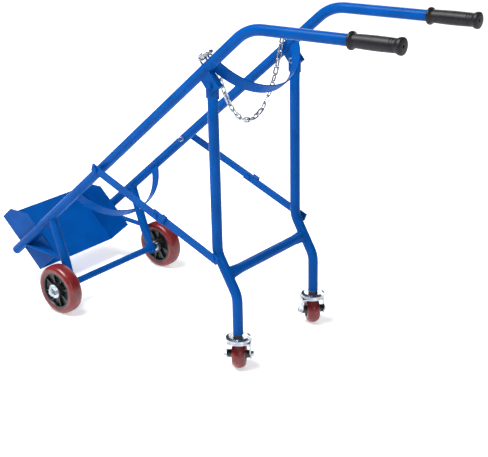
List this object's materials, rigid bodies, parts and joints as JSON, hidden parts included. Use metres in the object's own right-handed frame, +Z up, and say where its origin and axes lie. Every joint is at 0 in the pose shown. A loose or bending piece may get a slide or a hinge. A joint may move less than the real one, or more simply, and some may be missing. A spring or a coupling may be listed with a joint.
{
  "type": "hand truck",
  "caption": "Reclining hand truck for gas cylinders: tubular frame with long handles, cheeked toe tray, safety chain, and folding caster legs held by hinged braces.",
  "frame": {"origin": "middle of the bounding box, on the floor, with the truck reclined on its wheels and caster legs", "axes": "+X back towards the handles, +Y to the operator's right, +Z up"},
  "size_m": [1.2862, 0.4608, 0.8457],
  "materials": {
    "blue_paint": "gloss powder coat",
    "grip_rubber": "matte",
    "black_plastic": "matte",
    "hub_plastic": "satin moulded",
    "red_tyre": "satin polyurethane",
    "zinc": "bright zinc plate",
    "fastener_steel": "zinc-plated steel"
  },
  "bodies": {
    "frame": {"left_rail": "blue_paint", "right_rail": "blue_paint", "left_grip": "grip_rubber", "right_grip": "grip_rubber", "rail_end_plugs": "black_plastic", "upper_band": "blue_paint", "lower_band": "blue_paint", "tray_base": "blue_paint", "left_tray_cheek": "blue_paint", "right_tray_cheek": "blue_paint", "left_wheel_bracket": "blue_paint", "right_wheel_bracket": "blue_paint", "left_strut": "blue_paint", "right_strut": "blue_paint", "left_leg_bracket": "blue_paint", "right_leg_bracket": "blue_paint", "leg_bolts": "blue_paint", "brace_bolts": "blue_paint", "brace_spacers": "blue_paint", "pivot_nuts": "fastener_steel", "axle_tube": "blue_paint", "axle_shaft": "fastener_steel", "axle_washers": "zinc", "axle_nuts": "fastener_steel", "chain_eyes": "zinc", "snap_hook": "zinc", "chain": "zinc"},
    "legs": {"left_leg": "blue_paint", "right_leg": "blue_paint", "leg_cross_tube": "blue_paint", "leg_brace_pins": "blue_paint", "caster_stems": "zinc", "caster_races": "zinc"},
    "gate": {"snap_hook_gate": "zinc"},
    "left_wheel": {"left_tyre": "red_tyre", "left_hub": "hub_plastic", "left_wheel_bearing": "fastener_steel"},
    "left_caster_swivel": {"left_caster_fork": "zinc", "left_caster_axle": "fastener_steel"},
    "left_caster_wheel": {"left_caster_tyre": "red_tyre", "left_caster_hub": "hub_plastic"},
    "left_upper_arm": {"left_upper_brace": "blue_paint", "left_stop_clip": "blue_paint"},
    "left_lower_arm": {"left_lower_brace": "blue_paint", "left_brace_rivets": "blue_paint"},
    "right_wheel": {"right_tyre": "red_tyre", "right_hub": "hub_plastic", "right_wheel_bearing": "fastener_steel"},
    "right_caster_swivel": {"right_caster_fork": "zinc", "right_caster_axle": "fastener_steel"},
    "right_caster_wheel": {"right_caster_tyre": "red_tyre", "right_caster_hub": "hub_plastic"},
    "right_upper_arm": {"right_upper_brace": "blue_paint", "right_stop_clip": "blue_paint"},
    "right_lower_arm": {"right_lower_brace": "blue_paint", "right_brace_rivets": "blue_paint"}
  },
  "joints": [
    {"name": "leg_fold", "type": "hinge", "parent": "frame", "child": "legs", "pos_m": [0.16467, 0, 0.68546], "axis": [0, 1, 0], "range_deg": [0, 46]},
    {"name": "left_upper_brace", "type": "hinge", "parent": "frame", "child": "left_upper_arm", "pos_m": [-0.20154, -0.177, 0.42648], "axis": [0, 1, 0], "range_deg": [-64.51, 0]},
    {"name": "left_lower_brace", "type": "hinge", "parent": "left_upper_arm", "child": "left_lower_arm", "pos_m": [-0.00411, -0.1726, 0.34923], "axis": [0, 1, 0], "range_deg": [0, 157.32]},
    {"name": "right_upper_brace", "type": "hinge", "parent": "frame", "child": "right_upper_arm", "pos_m": [-0.20154, 0.177, 0.42648], "axis": [0, 1, 0], "range_deg": [-64.51, 0]},
    {"name": "right_lower_brace", "type": "hinge", "parent": "right_upper_arm", "child": "right_lower_arm", "pos_m": [-0.00411, 0.1726, 0.34923], "axis": [0, 1, 0], "range_deg": [0, 157.32]},
    {"name": "left_wheel_spin", "type": "hinge", "parent": "frame", "child": "left_wheel", "pos_m": [-0.35614, -0.193, 0.067], "axis": [0, 1, 0], "continuous": true},
    {"name": "right_wheel_spin", "type": "hinge", "parent": "frame", "child": "right_wheel", "pos_m": [-0.35614, 0.193, 0.067], "axis": [0, 1, 0], "continuous": true},
    {"name": "left_caster_swivel", "type": "hinge", "parent": "legs", "child": "left_caster_swivel", "pos_m": [0.22067, -0.151, 0.0756], "axis": [0, 0, 1], "continuous": true},
    {"name": "left_caster_roll", "type": "hinge", "parent": "left_caster_swivel", "child": "left_caster_wheel", "pos_m": [0.21413, -0.14094, 0.035], "axis": [-0.8387, -0.5446, 0], "continuous": true},
    {"name": "right_caster_swivel", "type": "hinge", "parent": "legs", "child": "right_caster_swivel", "pos_m": [0.22067, 0.151, 0.0756], "axis": [0, 0, 1], "continuous": true},
    {"name": "right_caster_roll", "type": "hinge", "parent": "right_caster_swivel", "child": "right_caster_wheel", "pos_m": [0.21175, 0.15903, 0.035], "axis": [-0.6691, -0.7431, 0], "continuous": true},
    {"name": "hook_gate", "type": "hinge", "parent": "frame", "child": "gate", "pos_m": [0.14553, -0.16225, 0.74511], "axis": [-0.6428, 0, 0.766], "range_deg": [0, 25], "stiffness_Nm_per_rad": 0.003, "springref_deg": -22.92}
  ],
  "couplings": [
    {"joint": "left_upper_brace", "follows": "leg_fold", "ratio": -1.4014},
    {"joint": "left_lower_brace", "follows": "leg_fold", "ratio": 3.4188},
    {"joint": "right_upper_brace", "follows": "leg_fold", "ratio": -1.4014},
    {"joint": "right_lower_brace", "follows": "leg_fold", "ratio": 3.4188}
  ]
}
